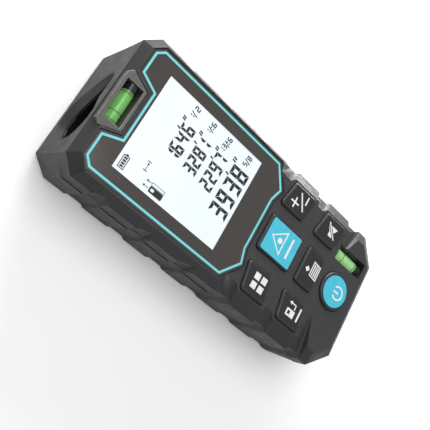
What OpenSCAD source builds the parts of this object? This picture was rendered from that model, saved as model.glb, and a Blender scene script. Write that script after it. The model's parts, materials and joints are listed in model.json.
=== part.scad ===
// Pocket laser distance meter, modelled as the separate pieces it is assembled from.
// Origin: centre of the back face. +X is the right side of the keypad, +Y points to the laser end
// and +Z comes out of the display. Millimetres throughout.

/* [Body] */
// Width across the keypad shoulders
body_w = 49.6; // [49.6:0.1:50.4]
// Length from the bottom end to the laser end
body_l = 112; // [112:0.1:112.6]
// Height from the back face to the display border
body_h = 26; // [26:0.1:26.4]
// Height of the joint between the two casings
parting_z = 16.9; // [16.9:0.1:17]
// Height where the upright side turns into the sloping shoulder
shoulder_z = 22.8; // [22.6:0.1:22.9]
// Casing wall thickness
wall = 2; // [1.8:0.1:2]
// Chamfer round the back face
back_chamfer = 0.7; // [0.3:0.1:1]

/* [Armour ribs] */
// Distance from one rib to the next along the side
rib_pitch = 16.4; // [16.2:0.1:16.5]
// How far the ribs stand out of the side wall at the joint line
rib_rise = 0.9; // [0.5:0.1:1.1]
// How far the ribs stand out along the keypad shoulder
shoulder_rise = 1.2; // [0.8:0.1:1.3]
// Forward lean of a rib's leading edge from the back face to the joint line
rib_lean = 1.4; // [0:0.1:2]

/* [Display] */
// Width of the visible display
screen_w = 32; // [30:0.5:32]
// Length of the visible display
screen_l = 39.4; // [36:0.2:39.4]
// Thickness of the clear window
window_t = 1.4; // [1:0.1:1.5]
// Gap between the window and the casing
window_gap = 0.15; // [0.05:0.01:0.2]

/* [Keys] */
// Distance a key travels when pressed
key_travel = 0.7; // [0.4:0.05:0.7]
// Gap round a key in its opening
key_gap = 0.2; // [0.1:0.05:0.25]
// How far the keys stand above the keypad face
key_proud = 0.8; // [0.5:0.1:1]
// Slant of the outer keys' short edges, in degrees
key_slant = 12; // [6:1:12]
// Corner radius of the keys
key_corner = 1; // [0.6:0.1:1.2]
// Chamfer round the top of a key
key_chamfer = 0.5; // [0.3:0.05:0.7]

/* [Levels] */
// Outside diameter of a level tube
vial_d = 4.9; // [4.6:0.1:4.9]
// Length of a level tube
vial_l = 12.5; // [11.5:0.1:12.5]
// Wall of a level tube
vial_wall = 0.45; // [0.3:0.05:0.5]
// Travel of a bubble each way from the middle
bubble_travel = 2.4; // [1:0.1:2.4]

/* [Optics] */
// Radius of the round recess in front of the receiving lens
lens_recess_r = 7; // [6.9:0.1:7.2]
// Radius of the recess round the laser exit
exit_recess_r = 2.2; // [2:0.1:2.4]
// How much wider the flared mouth of the recess is at its rim
mouth_flare = 2.6; // [1.5:0.1:2.7]
// Depth of the optics recess behind the end face
recess_depth = 7; // [5:0.1:7.5]
// Radius of the receiving lens
lens_r = 7.2; // [6.5:0.1:7.2]
// Outside radius of the laser barrel
barrel_r = 2.7; // [2.4:0.1:2.7]

/* [Power] */
// Diameter of a cell
cell_d = 10.4; // [10:0.1:10.5]
// Length of a cell over its terminal
cell_l = 44.5; // [44:0.1:44.5]
// Thickness of the battery door
door_t = 1.6; // [1.2:0.1:1.6]
// Gap round the battery door
door_gap = 0.2; // [0.1:0.05:0.3]

/* [Fasteners] */
// Radius of a casing screw shank
screw_r = 1.2; // [1:0.05:1.2]
// Radius of the tripod thread's bore
tripod_r = 3.175; // [3.1:0.005:3.2]
// Depth of the tripod thread
tripod_depth = 7.5; // [6:0.1:8]

/* [Hidden] */
$fn = 64;
hull_fn = 32;
eps = 0.01;
slip = 0.05;

// Colours
charcoal = [0.20, 0.20, 0.21];
key_black = [0.13, 0.13, 0.14];
accent_blue = [0.22, 0.74, 0.90];
level_green = [0.45, 0.75, 0.38];
frame_grey = [0.45, 0.43, 0.42];
board_green = [0.10, 0.36, 0.20];
nickel = [0.75, 0.75, 0.73];
clear_tint = [0.85, 0.92, 0.95, 0.35];

// Key points of the body, all from the driving sizes
half_w = body_w / 2;
laser_y = body_l / 2;
bottom_y = -body_l / 2;
keypad_z = body_h - 0.3;
ceiling_z = shoulder_z - 0.2;
window_z = body_h - 0.15 - window_t;
side_in = half_w - shoulder_rise - wall - 0.2;
end_back = laser_y - 0.04;
end_front = laser_y - 0.9;

// Display panel and the frame that holds it
screen_y0 = 4.36;
panel_x = screen_w / 2 + 1.1;
panel_y = [screen_y0 - 2.3, screen_y0 + screen_l + 0.3];
frame_x = panel_x + 0.9;
frame_y = [panel_y[0] - 0.9, panel_y[1] + 0.9];

// Heights of the inner stack
board_t = 1.2;
board_z = parting_z + 1.3;
board_top = board_z + board_t;
flange_t = 0.75;
flange_z = ceiling_z - slip - flange_t;
frame_floor = 0.8;
frame_top = window_z - 0.15;
backlight_t = 1.75;
panel_z = board_top + frame_floor + backlight_t + 2 * slip;
panel_t = 1.95;
ribbon_x = 7.5;
ribbon_t = 0.15;

// Places of the optics, levels, cells and fasteners
lens_at = [-6.4, 11.1];
exit_at = [6, 16.6];
hood_wall = 0.8;
hood_back = end_front - recess_depth - 1;
mouth_y = end_front - 1.2;
liner_front = mouth_y - 0.5;
flare_run = 1.4;
lens_flare_shift = [1, 1.2];
exit_flare_shift = [0, -0.4];
exit_flare = 1.1;
lens_steps = 28;
exit_steps = 16;
optics_front = hood_back - 0.8;
vial_r = vial_d / 2;
top_vial_at = [0, laser_y - 5.4, 23.1];
side_vial_at = [12.3, bottom_y + 11.7, shoulder_z];
vial_room = 0.4;
vial_floor = 0.8;
vial_bore = vial_r - vial_wall;
plug_l = 2.2;
bubble_r = 0.85;
bubble_half = 1.5;
bubble_rise = vial_bore - bubble_r - 0.1;
cell_x = 5.6;
cell_z = 7.4;
bay_x = 11.4;
bay_y = [-50.8, -1.8];
bay_top = 13.2;
bay_wall = 1.2;
door_x = bay_x + 1.6;
door_y = [bay_y[0] - 1.4, bay_y[1] + 1.4];
tripod_at = [0, 6.5];
tripod_outer_r = 4.6;
screw_at = [[18.8, 48.2], [18.8, -44.5]];
boss_r = 2.7;
board_post_at = [[10, -3.2], [6.6, -51.4]];
plate_t = 0.3;

// Keys: centre, width, length
measure_key = [0, -15.25, 12.5, 14.9];
memory_key = [0, -30.15, 12.8, 8.3];
upper_key = [15.1, -14.3, 9.4, 10.4];
lower_key = [15.1, -30.6, 9.4, 10.4];
power_at = [0, -43.3];
power_r = 6.4;
key_centres = [
  [measure_key[0], measure_key[1]], [memory_key[0], memory_key[1]], power_at,
  [upper_key[0], upper_key[1]], [-upper_key[0], upper_key[1]],
  [lower_key[0], lower_key[1]], [-lower_key[0], lower_key[1]]
];
plunger_r = 1.6;
plunger_gap = 1.1;
flange_reach = 0.7;
key_top = keypad_z + key_proud;

// ---------------------------------------------------------------- outline helpers

function unit(v) = v / norm(v);
function turn_right(v) = [v[1], -v[0]];
// A half outline listed from the bottom end upwards, completed by its mirror image.
function both_sides(half) = concat(
  half, [for (i = [len(half) - 1:-1:0]) [-half[i][0], half[i][1]]]);
function at_z(outline, z) = [for (p = outline) [p[0], p[1], z]];
// An outline with mitred corners moved outwards by d.
function grow(p, d) = let (n = len(p)) [for (i = [0:n - 1]) let (
    a = turn_right(unit(p[i] - p[(i + n - 1) % n])),
    b = turn_right(unit(p[(i + 1) % n] - p[i])))
  p[i] + d * (a + b) / (1 + a * b)];
// A convex outline with its corners rounded to radius r.
function rounded(p, r, steps = 4) = let (n = len(p)) [for (i = [0:n - 1]) let (
    u = unit(p[(i + n - 1) % n] - p[i]),
    v = unit(p[(i + 1) % n] - p[i]),
    half = acos(u * v) / 2,
    m = p[i] + unit(u + v) * r / sin(half),
    s = p[i] + u * r / tan(half) - m,
    start = atan2(s[1], s[0]))
  for (k = [0:steps]) let (t = start + (180 - 2 * half) * k / steps)
    m + r * [cos(t), sin(t)]];

// ---------------------------------------------------------------- shape helpers

// A closed solid through rings of points, each ring counter-clockwise seen from the last one.
module stack(rings) {
  n = len(rings[0]);
  last = len(rings) - 1;
  polyhedron(
    points = [for (ring = rings) each ring],
    faces = concat(
      [[for (i = [0:n - 1]) i]],
      [[for (i = [n - 1:-1:0]) last * n + i]],
      [for (k = [0:last - 1], i = [0:n - 1])
        let (a = k * n + i, b = a + n, c = (k + 1) * n + (i + 1) % n, d = c - n)
        each [[a, b, c], [a, c, d]]]),
    convexity = 6);
}

module prism(outline, z0, z1) {
  translate([0, 0, z0]) linear_extrude(z1 - z0) polygon(outline);
}

module block(x, y, z) {
  translate([x[0], y[0], z[0]]) cube([x[1] - x[0], y[1] - y[0], z[1] - z[0]]);
}

module rod_x(r, x, y, z) {
  translate([x[0], y, z]) rotate([0, 90, 0]) cylinder(r = r, h = x[1] - x[0]);
}

module rod_y(r, x, y, z) {
  translate([x, y[0], z]) rotate([-90, 0, 0]) cylinder(r = r, h = y[1] - y[0]);
}

module rod_z(r, at, z) {
  translate([at[0], at[1], z[0]]) cylinder(r = r, h = z[1] - z[0]);
}

module left_and_right() {
  children();
  mirror([1, 0, 0]) children();
}

// The teardrop round the receiving lens and the laser exit, swept along Y.
module teardrop(extra, y) {
  translate([0, y[1], 0]) rotate([90, 0, 0]) linear_extrude(y[1] - y[0]) hull() {
    translate(lens_at) circle(lens_recess_r + extra, $fn = hull_fn);
    translate(exit_at) circle(exit_recess_r + extra, $fn = hull_fn);
  }
}

// Outline of the recess in front of the optics at y, clockwise round the lens and then round
// the exit; a share of 0 is the throat, 1 the flared rim.
function mouth_ring(share, y) = let (
    a = lens_at + share * lens_flare_shift, b = exit_at + share * exit_flare_shift,
    r_a = lens_recess_r + share * mouth_flare, r_b = exit_recess_r + share * exit_flare,
    way = atan2(b[1] - a[1], b[0] - a[0]), half = acos((r_a - r_b) / norm(b - a)))
  [each [for (k = [0:lens_steps]) let (t = way - half - (360 - 2 * half) * k / lens_steps)
      [a[0] + r_a * cos(t), y, a[1] + r_a * sin(t)]],
    each [for (k = [0:exit_steps]) let (t = way + half - 2 * half * k / exit_steps)
      [b[0] + r_b * cos(t), y, b[1] + r_b * sin(t)]]];

// Everything cut away round the optics: room for the liner, the throat and the flared mouth.
module optics_opening() {
  teardrop(hood_wall + slip, [hood_back - 1, liner_front + slip]);
  stack([mouth_ring(0, liner_front - 0.4), mouth_ring(0, mouth_y),
    mouth_ring(2, mouth_y + 2 * flare_run)]);
}

// ---------------------------------------------------------------- casing geometry

// Rib number k: where its leading crest and its tail lie along Y at height z.
function crest_y(k, z) = 36.9 - rib_pitch * (k - 1) + rib_lean * (z - parting_z) / parting_z;
function tail_y(k, z) = 26.5 - rib_pitch * (k - 1) + rib_lean / 2 * (z - parting_z) / parting_z;
function rib_ramp(k) = k < 4 ? 0.9 : 1.6;

// Half outlines of the casing core, from the bottom end to the laser end.
core_part = half_w - shoulder_rise - 0.1;
core_back = core_part - 1.5;
rear_joint = [
  [half_w - 7.6, bottom_y], [core_part, bottom_y + 6.3],
  [core_part, end_front - 3.7], [half_w - 5.2, end_front]];
rear_back = [
  [half_w - 8.6, bottom_y + 0.5], [core_back, bottom_y + 6.6],
  [core_back, end_back - 5], [half_w - 6.5, end_back]];

// One rib on the right side: a ring of plan points at height z with its face at x_out.
function rib_ring(x_core, x_out, y_tail, y_crest, ramp, z) = at_z([
  [x_core - 1, y_tail], [x_core, y_tail], [x_out, y_tail + 0.3],
  [x_out, y_crest], [x_core, y_crest + ramp], [x_core - 1, y_crest + ramp]], z);

module rear_rib(k) {
  z0 = back_chamfer;
  stack([
    rib_ring(core_back, core_back + 0.6, tail_y(k, z0), crest_y(k, z0), rib_ramp(k), z0),
    rib_ring(core_part, core_part + rib_rise, tail_y(k, parting_z), crest_y(k, parting_z),
      rib_ramp(k), parting_z)]);
}

// The first and last ribs run into the chamfered corners of the casing.
module rear_corner_ribs() {
  z0 = back_chamfer;
  stack([
    at_z([[core_back - 1, tail_y(0, z0)], [core_back, tail_y(0, z0)],
      [core_back + 0.6, tail_y(0, z0) + 0.3], [core_back + 0.6, end_back - 5.9],
      [core_back, end_back - 5], [core_back - 1, end_back - 5]], z0),
    at_z([[core_part - 1, tail_y(0, parting_z)], [core_part, tail_y(0, parting_z)],
      [core_part + rib_rise, tail_y(0, parting_z) + 0.3],
      [core_part + rib_rise, end_front - 3.7 - rib_rise],
      [core_part, end_front - 3.7], [core_part - 1, end_front - 3.7]], parting_z)]);
  stack([
    at_z([[core_back - 1, bottom_y + 6.6], [core_back, bottom_y + 6.6],
      [core_back + 0.6, bottom_y + 7.3], [core_back + 0.6, crest_y(6, z0)],
      [core_back, crest_y(6, z0) + rib_ramp(6)],
      [core_back - 1, crest_y(6, z0) + rib_ramp(6)]], z0),
    at_z([[core_part - 1, bottom_y + 6.3], [core_part, bottom_y + 6.3],
      [core_part + rib_rise, bottom_y + 6.3 + rib_rise],
      [core_part + rib_rise, crest_y(6, parting_z)],
      [core_part, crest_y(6, parting_z) + rib_ramp(6)],
      [core_part - 1, crest_y(6, parting_z) + rib_ramp(6)]], parting_z)]);
}

module rear_outer() {
  stack([
    at_z(grow(both_sides(rear_back), -back_chamfer), 0),
    at_z(both_sides(rear_back), back_chamfer),
    at_z(both_sides(rear_joint), parting_z)]);
  left_and_right() {
    for (k = [1:5]) rear_rib(k);
    rear_corner_ribs();
  }
}

// Inside of the casing, a plain prism with chamfered corners.
inside_half = [
  [side_in - 5, bottom_y + wall], [side_in, bottom_y + wall + 5],
  [side_in, end_front - wall - 3.7], [side_in - 3.7, end_front - wall]];

module rear_inside() {
  narrow = [for (p = inside_half) [p[0] - 1.4, p[1]]];
  stack([at_z(both_sides(narrow), wall), at_z(both_sides(inside_half), parting_z + eps)]);
}

// The front casing is built from right halves that run past the top faces and are cut off there.
// Height of a point that share t of the way up a slope, and a plan that far between two.
function reach_z(top_z, t) = shoulder_z + (top_z - shoulder_z) * t;
function reach_plan(low, high, t) = [for (i = [0:len(low) - 1]) low[i] + (high[i] - low[i]) * t];
over_reach = 1.2;

// A right half from the joint line up to the shoulder's edge and on along the slope.
module sloping_half(low, high, top_z) {
  joint = [for (p = low) [p[0] - (p[0] > 0 ? 0.15 : 0), p[1]]];
  stack([
    at_z(joint, parting_z), at_z(low, shoulder_z),
    at_z(reach_plan(low, high, over_reach), reach_z(top_z, over_reach))]);
}

// Display end, with its sloping shoulder and the facets that step down to the keypad.
module display_half() {
  side = half_w - 0.5;
  rim = half_w - 2.96;
  sloping_half(
    [[-1, -9.2], [14.2, -9.2], [side - 0.7, -7.3], [side, -5],
      [side, end_front - 4.5], [half_w - 5, end_front], [-1, end_front]],
    [[-1, -8.15], [13.95, -8.15], [rim - 0.9, -2.65], [rim, -1.9],
      [rim, laser_y - 7.04], [half_w - 6.5, laser_y - 3.5], [-1, laser_y - 3.5]],
    body_h);
}

module display_outer() {
  difference() {
    left_and_right() display_half();
    block([-half_w, half_w], [-half_w, laser_y + 1], [body_h, body_h + 3]);
  }
}

// Hollows between the ribs beside the display: shallow at the joint, deepest at the crest.
module display_hollow(k) {
  x = half_w - 0.5;
  out = x + 1;
  low = parting_z - 1;
  stack([for (level = [[low, rib_rise, rib_rise], [parting_z, rib_rise, rib_rise],
      [shoulder_z, 0.2, 1.5], [body_h, 0.2, 1.5]])
    let (z = level[0], y0 = crest_y(k, z), y1 = tail_y(k - 1, z)) at_z([
      [out, y0], [out, y1], [x - level[1], y1],
      [x - level[2], y0 + rib_ramp(k)], [x + 0.1, y0]], z)]);
}

// Keypad end: the core lies in the hollows between the shoulder ribs.
core_side = half_w - shoulder_rise;
hollow_inner = 11.2;
hollow_y = [bottom_y + 16.7, bottom_y + 21];
rib_slope_run = 4.3;
core_slope_run = 4.7;
crest_swing = 2.1;

module keypad_half() {
  foot = crest_y(6, shoulder_z) + rib_ramp(6);
  sloping_half(
    [[-1, bottom_y], [half_w - 7.6, bottom_y], [core_side, bottom_y + 6.4],
      [core_side, foot], [core_side, hollow_y[1]], [core_side, 0], [-1, 0]],
    [[-1, bottom_y + 3.35], [half_w - 9.9, bottom_y + 3.35], [hollow_inner, bottom_y + 9.2],
      [hollow_inner, hollow_y[0]], [core_side - core_slope_run, hollow_y[1]],
      [core_side - core_slope_run, 0], [-1, 0]],
    keypad_z);
}

// Plan points of a shoulder rib whose crest and tail lie at the given places.
function shoulder_ring(x_core, x_out, y_tail, y_crest) = [
  [x_core - 1, y_tail], [x_core, y_tail], [x_out, y_tail + 0.4],
  [x_out, y_crest], [x_core, y_crest + 1.6], [x_core - 1, y_crest + 1.6]];

module shoulder_rib(k) {
  crest = crest_y(k, shoulder_z);
  tail = tail_y(k, shoulder_z);
  sloping_half(
    shoulder_ring(core_side, half_w, tail, crest),
    shoulder_ring(core_side - core_slope_run, half_w - rib_slope_run, tail + 0.6,
      crest + crest_swing),
    keypad_z);
}

// The last shoulder rib runs into the bottom corner, its facet narrowing to a point inwards.
module shoulder_corner() {
  crest = crest_y(6, shoulder_z);
  sloping_half(
    [[8, bottom_y + 3], [half_w - 7.6, bottom_y], [half_w, bottom_y + 7.6],
      [half_w, crest], [core_side, crest + rib_ramp(6)], [8, hollow_y[0] - 0.2]],
    [[8, bottom_y + 4], [half_w - 9.9, bottom_y + 3.35], [half_w - rib_slope_run, bottom_y + 9.2],
      [half_w - rib_slope_run, crest + 1.2], [hollow_inner, hollow_y[0]],
      [8, hollow_y[0] - 0.2]],
    keypad_z);
}

module keypad_outer() {
  difference() {
    left_and_right() {
      keypad_half();
      for (k = [4, 5]) shoulder_rib(k);
      shoulder_corner();
    }
    block([-half_w, half_w], [bottom_y - 1, 1], [keypad_z, body_h + 3]);
  }
}

// Border of the clear window, a mitred outline that steps round the upper level.
border_half = [
  [9.06, -5.07], [13.55, -6.54], [20.3, -1.24], [20.3, 48.8],
  [18.06, laser_y - 4.9], [10.66, laser_y - 4.9], [8.18, laser_y - 10.9]];
border_margin = 0.9;
window_outline = grow(both_sides(border_half), border_margin);

// The grey hood round the upper level.
hood_half = [[7, laser_y - 9.3], [9.5, laser_y - 2.7], [7.9, laser_y - 1.3]];
well_x = vial_l / 2 + 0.2;
well_y = [top_vial_at[1] - vial_r - vial_room, top_vial_at[1] + vial_r + vial_room];
cup_wall = 0.6;
cup_z = 20;
well_z = top_vial_at[2] - vial_r - slip;

// Window in the keypad face over the second level.
side_slot = [
  [side_vial_at[0] - vial_r - vial_room, side_vial_at[0] + vial_r + vial_room],
  [side_vial_at[1] - vial_l / 2 - vial_room, side_vial_at[1] + vial_l / 2 + vial_room]];

// ---------------------------------------------------------------- key outlines

// A key outline from [x, y, width, length]; outer keys slant away from the middle.
function key_outline(key, side, extra) = let (
    slant = side * tan(key_slant), w = key[2] / 2, l = key[3] / 2,
    c = [key[0] * (side == 0 ? 1 : side), key[1]])
  rounded(grow([for (s = [[-1, -1], [1, -1], [1, 1], [-1, 1]])
    c + [s[0] * w, s[1] * l - s[0] * w * slant]], extra), key_corner + extra);

module key_opening(key, side) {
  prism(key_outline(key, side, key_gap), ceiling_z - eps, body_h + 1);
}

module key_piece(key, side) {
  c = [key[0] * (side == 0 ? 1 : side), key[1]];
  stack([
    at_z(key_outline(key, side, 0), flange_z + eps),
    at_z(key_outline(key, side, 0), key_top - key_chamfer),
    at_z(key_outline(key, side, -key_chamfer), key_top)]);
  prism(key_outline(key, side, flange_reach), flange_z, flange_z + flange_t);
  rod_z(plunger_r, c, [board_top + plunger_gap, flange_z + eps]);
}

// ---------------------------------------------------------------- outer pieces

module front_shell() {
  color(charcoal) difference() {
    union() {
      difference() {
        union() {
          display_outer();
          keypad_outer();
        }
        left_and_right() for (k = [1:3]) display_hollow(k);
        prism(both_sides(inside_half), parting_z - 1, ceiling_z);
      }
      left_and_right() for (at = screw_at) rod_z(boss_r, at, [parting_z, ceiling_z + eps]);
      left_and_right() for (at = board_post_at)
        rod_z(1.9, at, [board_top, ceiling_z + eps]);
    }
    // step between the display border and the keypad face
    prism([[-14.4, -9.4], [14.4, -9.4], [14, -8.25], [8.9, -6.6], [-8.9, -6.6], [-14, -8.25]],
      keypad_z, body_h + 1);
    prism(grow(window_outline, window_gap), window_z, body_h + 1);
    block([-frame_x - 0.2, frame_x + 0.2], [frame_y[0] - 0.2, frame_y[1] + 0.2],
      [ceiling_z - eps, window_z + eps]);
    // seat of the level hood
    prism(grow(both_sides(hood_half), 0.1), ceiling_z - eps, body_h + 1);
    block([-well_x - cup_wall - 0.1, well_x + cup_wall + 0.1],
      [well_y[0] - cup_wall - 0.1, well_y[1] + cup_wall + 0.1], [cup_z - 0.1, ceiling_z]);
    block(side_slot[0], side_slot[1], [ceiling_z - eps, body_h]);
    key_opening(measure_key, 0);
    key_opening(memory_key, 0);
    for (side = [-1, 1]) {
      key_opening(upper_key, side);
      key_opening(lower_key, side);
    }
    rod_z(power_r + key_gap, power_at, [ceiling_z - eps, body_h + 1]);
    left_and_right() for (at = screw_at)
      rod_z(screw_r + slip, at, [parting_z - 1, ceiling_z - 0.8]);
    left_and_right() for (at = board_post_at)
      rod_z(0.95, at, [board_top - 1, ceiling_z + 0.6]);
    optics_opening();
    gasket_ring(0.05);
  }
}

module rear_shell() {
  color(charcoal) difference() {
    union() {
      difference() {
        rear_outer();
        rear_inside();
      }
      intersection() {
        union() {
          left_and_right() for (at = screw_at) rod_z(boss_r, at, [wall - eps, parting_z]);
          rod_z(tripod_outer_r + 1.8, tripod_at, [wall - eps, tripod_depth + 2.5]);
          block([-bay_x - bay_wall, bay_x + bay_wall],
            [bay_y[0] - bay_wall, bay_y[1] + bay_wall], [wall - eps, bay_top + bay_wall]);
        }
        prism(both_sides(rear_joint), 0, parting_z);
      }
    }
    block([-bay_x, bay_x], bay_y, [-1, bay_top]);
    block([-door_x, door_x], door_y, [-1, door_t + 0.1]);
    rod_z(tripod_outer_r + eps, tripod_at, [-1, tripod_depth + 0.9]);
    left_and_right() for (at = screw_at) {
      rod_z(screw_r + 0.15, at, [-1, parting_z + 1]);
      rod_z(2.6, at, [-1, 3]);
    }
    block([-14.1, 14.1], [17.9, 42.1], [-1, 0.35]);
    optics_opening();
    gasket_ring(0.05);
  }
}

// Seal cord in the joint face, open where the optics recess crosses the joint.
module gasket_ring(extra) {
  difference() {
    prism(grow(both_sides(inside_half), 1.25 + extra), parting_z - 0.35 - extra,
      parting_z + 0.35 + extra);
    prism(grow(both_sides(inside_half), 0.75 - extra), parting_z - 1, parting_z + 1);
    block([lens_at[0] - lens_recess_r - mouth_flare - 0.5 + extra,
      exit_at[0] + exit_recess_r + exit_flare + 1.5 - extra],
      [laser_y - 8, laser_y], [parting_z - 2, parting_z + 2]);
  }
}

module shell_gasket() {
  color("dimgray") gasket_ring(0);
}

module display_window() {
  color(clear_tint) prism(window_outline, window_z, window_z + window_t);
}

module optics_hood() {
  color([0.10, 0.10, 0.11]) difference() {
    teardrop(hood_wall, [hood_back, liner_front]);
    teardrop(0, [hood_back + 1, laser_y]);
    rod_y(lens_r - 0.4, lens_at[0], [hood_back - 1, hood_back + 2], lens_at[1]);
    rod_y(1.6, exit_at[0], [hood_back - 1, hood_back + 2], exit_at[1]);
  }
}

module top_vial_frame() {
  color(frame_grey) difference() {
    union() {
      prism(both_sides(hood_half), ceiling_z, body_h - 0.1);
      block([-well_x - cup_wall, well_x + cup_wall],
        [well_y[0] - cup_wall, well_y[1] + cup_wall], [cup_z, ceiling_z + eps]);
    }
    block([-well_x, well_x], well_y, [well_z, body_h + 1]);
  }
}

// ---------------------------------------------------------------- levels

module vial_tube() {
  difference() {
    rod_x(vial_r, [-vial_l / 2, vial_l / 2], 0, 0);
    rod_x(vial_bore, [-vial_l / 2 + vial_floor, vial_l / 2 + 1], 0, 0);
  }
}

module vial_plug() {
  rod_x(vial_bore, [vial_l / 2 - plug_l, vial_l / 2], 0, 0);
}

module bubble_at(r, reach) {
  translate([0, 0, bubble_rise]) {
    rod_x(r, [-reach + bubble_r, reach - bubble_r], 0, 0);
    for (side = [-1, 1]) translate([side * (reach - bubble_r), 0, 0]) sphere(r);
  }
}

// The liquid leaves a channel along the top in which the bubble drifts.
module vial_liquid() {
  difference() {
    rod_x(vial_bore, [-vial_l / 2 + vial_floor, vial_l / 2 - plug_l], 0, 0);
    bubble_at(bubble_r + 0.05, bubble_half + bubble_travel + 0.05);
  }
}

module vial_bubble() {
  bubble_at(bubble_r, bubble_half);
}

module top_vial() {
  color(clear_tint) translate(top_vial_at) vial_tube();
}

module top_vial_plug() {
  color(key_black) translate(top_vial_at) vial_plug();
}

module top_vial_liquid() {
  color(level_green) translate(top_vial_at) vial_liquid();
}

module top_vial_bubble() {
  color("honeydew") translate(top_vial_at) vial_bubble();
}

module on_side_vial() {
  translate(side_vial_at) rotate([0, 0, -90]) children();
}

module side_vial() {
  color(clear_tint) on_side_vial() vial_tube();
}

module side_vial_plug() {
  color(key_black) on_side_vial() vial_plug();
}

module side_vial_liquid() {
  color(level_green) on_side_vial() vial_liquid();
}

module side_vial_bubble() {
  color("honeydew") on_side_vial() vial_bubble();
}

module side_vial_cradle() {
  color(key_black) difference() {
    block([side_slot[0][0] - 0.4, side_slot[0][1] + 0.4],
      [side_slot[1][0] - 0.3, side_slot[1][1] + 0.3], [board_top + slip, ceiling_z - slip]);
    rod_y(vial_r + 0.03, side_vial_at[0], side_slot[1], side_vial_at[2]);
  }
}

// ---------------------------------------------------------------- keys

module key_measure() {
  color(accent_blue) key_piece(measure_key, 0);
}

module key_memory() {
  color(key_black) key_piece(memory_key, 0);
}

module key_plus_minus() {
  color(key_black) key_piece(upper_key, 1);
}

module key_sound() {
  color(key_black) key_piece(lower_key, 1);
}

module key_function() {
  color(key_black) key_piece(upper_key, -1);
}

module key_reference() {
  color(key_black) key_piece(lower_key, -1);
}

module key_power() {
  color(accent_blue) {
    rod_z(power_r, power_at, [flange_z, key_top - key_chamfer]);
    translate([power_at[0], power_at[1], key_top - key_chamfer])
      cylinder(r1 = power_r, r2 = power_r - key_chamfer, h = key_chamfer);
    rod_z(power_r + flange_reach, power_at, [flange_z, flange_z + flange_t]);
    rod_z(plunger_r, power_at, [board_top + plunger_gap, flange_z + eps]);
  }
}

// Silicone sheet on the board with a collar round each plunger.
module keypad_mat() {
  sheet = 0.9;
  collar_top = flange_z - key_travel - slip;
  color("slategray") difference() {
    union() {
      block([-18.6, 18.6], [-36.4, -7.4], [board_top, board_top + sheet]);
      block([-7.6, 7.6], [-49.1, -36.2], [board_top, board_top + sheet]);
      for (at = key_centres) rod_z(3.9, at, [board_top, collar_top]);
    }
    for (at = key_centres) rod_z(2.9, at, [board_top - 1, collar_top + 1]);
  }
}

module switch_domes() {
  color(nickel) for (at = key_centres) {
    rod_z(2.4, at, [board_top, board_top + 0.1]);
    translate([at[0], at[1], board_top + 0.1]) cylinder(r1 = 2.2, r2 = 1.2, h = 0.2);
  }
}

// ---------------------------------------------------------------- display stack

module lcd_frame() {
  color("whitesmoke") difference() {
    block([-frame_x, frame_x], frame_y, [board_top, frame_top]);
    block([-panel_x - 0.1, panel_x + 0.1], [panel_y[0] - 0.1, panel_y[1] + 0.1],
      [board_top + frame_floor, frame_top + 1]);
    block([-14, 14], [6, 40], [board_top - 1, board_top + 1]);
    block([-ribbon_x - 0.5, ribbon_x + 0.5], [frame_y[0] - 1, panel_y[0]],
      [panel_z - slip, frame_top + 1]);
  }
}

module backlight() {
  z = board_top + frame_floor + slip;
  color("white") block([-panel_x, panel_x], panel_y, [z, z + backlight_t]);
}

module lcd_panel() {
  color([0.78, 0.85, 0.80]) block([-panel_x, panel_x], panel_y, [panel_z, panel_z + panel_t]);
}

// Ribbon from the panel's edge down into its socket on the board.
module lcd_connector() {
  ribbon_z = panel_z + 0.2;
  drop_y = frame_y[0] - 1.9;
  drop_z = board_top + 0.5;
  color([0.85, 0.55, 0.20]) {
    block([-ribbon_x, ribbon_x], [drop_y, panel_y[0] - slip], [ribbon_z, ribbon_z + ribbon_t]);
    block([-ribbon_x, ribbon_x], [drop_y, drop_y + ribbon_t], [drop_z, ribbon_z + ribbon_t]);
  }
  color("ivory") difference() {
    block([-ribbon_x - 0.7, ribbon_x + 0.7], [drop_y - 1.1, frame_y[0] - 0.8],
      [board_top, board_top + 1.3]);
    block([-ribbon_x, ribbon_x], [drop_y, drop_y + ribbon_t], [drop_z, board_top + 2]);
  }
}

// ---------------------------------------------------------------- electronics

module main_board() {
  color(board_green) difference() {
    block([-19.4, 19.4], [-52.6, 19.4], [board_z, board_top]);
    left_and_right() {
      rod_z(boss_r + 0.3, screw_at[1], [board_z - 1, board_top + 1]);
      for (at = board_post_at) rod_z(1.1, at, [board_z - 1, board_top + 1]);
      translate([side_in, bottom_y + wall + 5, 0]) rotate([0, 0, 45])
        block([-7.2, 7.2], [-6, 0], [board_z - 1, board_top + 1]);
    }
  }
}

module processor() {
  color([0.12, 0.12, 0.13]) block([-14, -7], [8, 15], [board_z - 1, board_z]);
  pin_t = 0.35;
  color(nickel) for (side = [0, 1], i = [0:6])
    translate([-14.6 + 7 * side + 0.6 * side, 8.5 + i * 0.95, board_z - pin_t])
      cube([0.6, 0.4, pin_t]);
}

module buzzer() {
  color([0.12, 0.12, 0.13]) difference() {
    rod_z(4.4, [11.5, 11.5], [board_z - 3.4, board_z]);
    rod_z(0.8, [11.5, 11.5], [board_z - 4, board_z - 1.2]);
  }
}

module board_screws() {
  color(nickel) left_and_right() for (at = board_post_at) difference() {
    union() {
      rod_z(1.8, at, [board_z - 1.1, board_z]);
      rod_z(0.9, at, [board_z - eps, ceiling_z + 0.4]);
    }
    cross_slot(at, board_z - 1.1, 1.1);
  }
}

// ---------------------------------------------------------------- optics

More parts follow.
